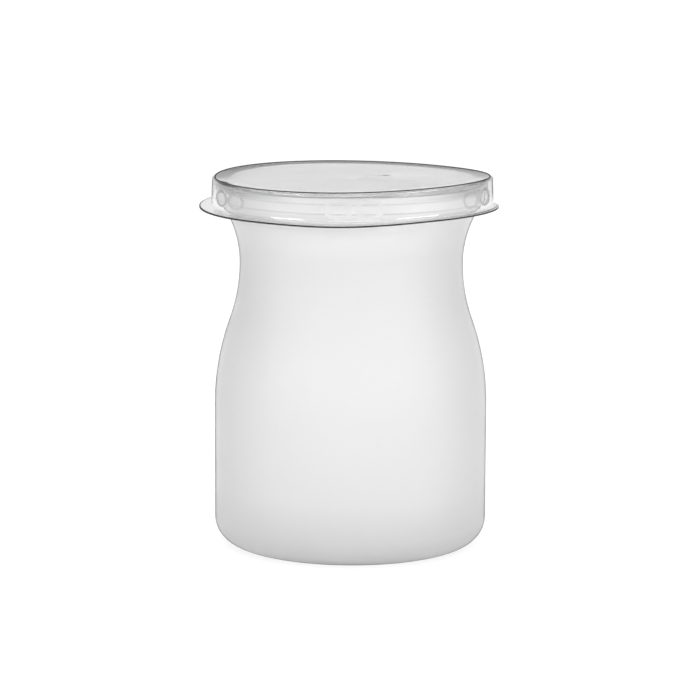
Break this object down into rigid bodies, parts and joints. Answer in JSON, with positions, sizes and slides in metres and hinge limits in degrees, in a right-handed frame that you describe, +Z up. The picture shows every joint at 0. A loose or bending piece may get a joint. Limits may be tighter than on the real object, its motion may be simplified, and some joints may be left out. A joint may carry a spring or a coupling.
{
  "type": "dessert bottle",
  "caption": "Short round frosted plastic bottle with a drawn-in neck, a flared mouth and a clear press-on lid with a narrow brim.",
  "frame": {"origin": "on the floor under the middle of the base, at the bottom centre of the whole's box to within the lid's small off-centre trim", "axes": "+Z up along the bottle's turning axis, -Y towards the front that the picture shows, +X to the right seen from that front"},
  "size_m": [0.0655, 0.0656, 0.0815],
  "materials": {
    "bottle": "frosted, milky translucent polypropylene with a soft sheen",
    "lid": "clear glossy thermoformed PET sheet"
  },
  "bodies": {
    "root": {"bottle": "bottle", "lid": "lid"}
  },
  "joints": []
}
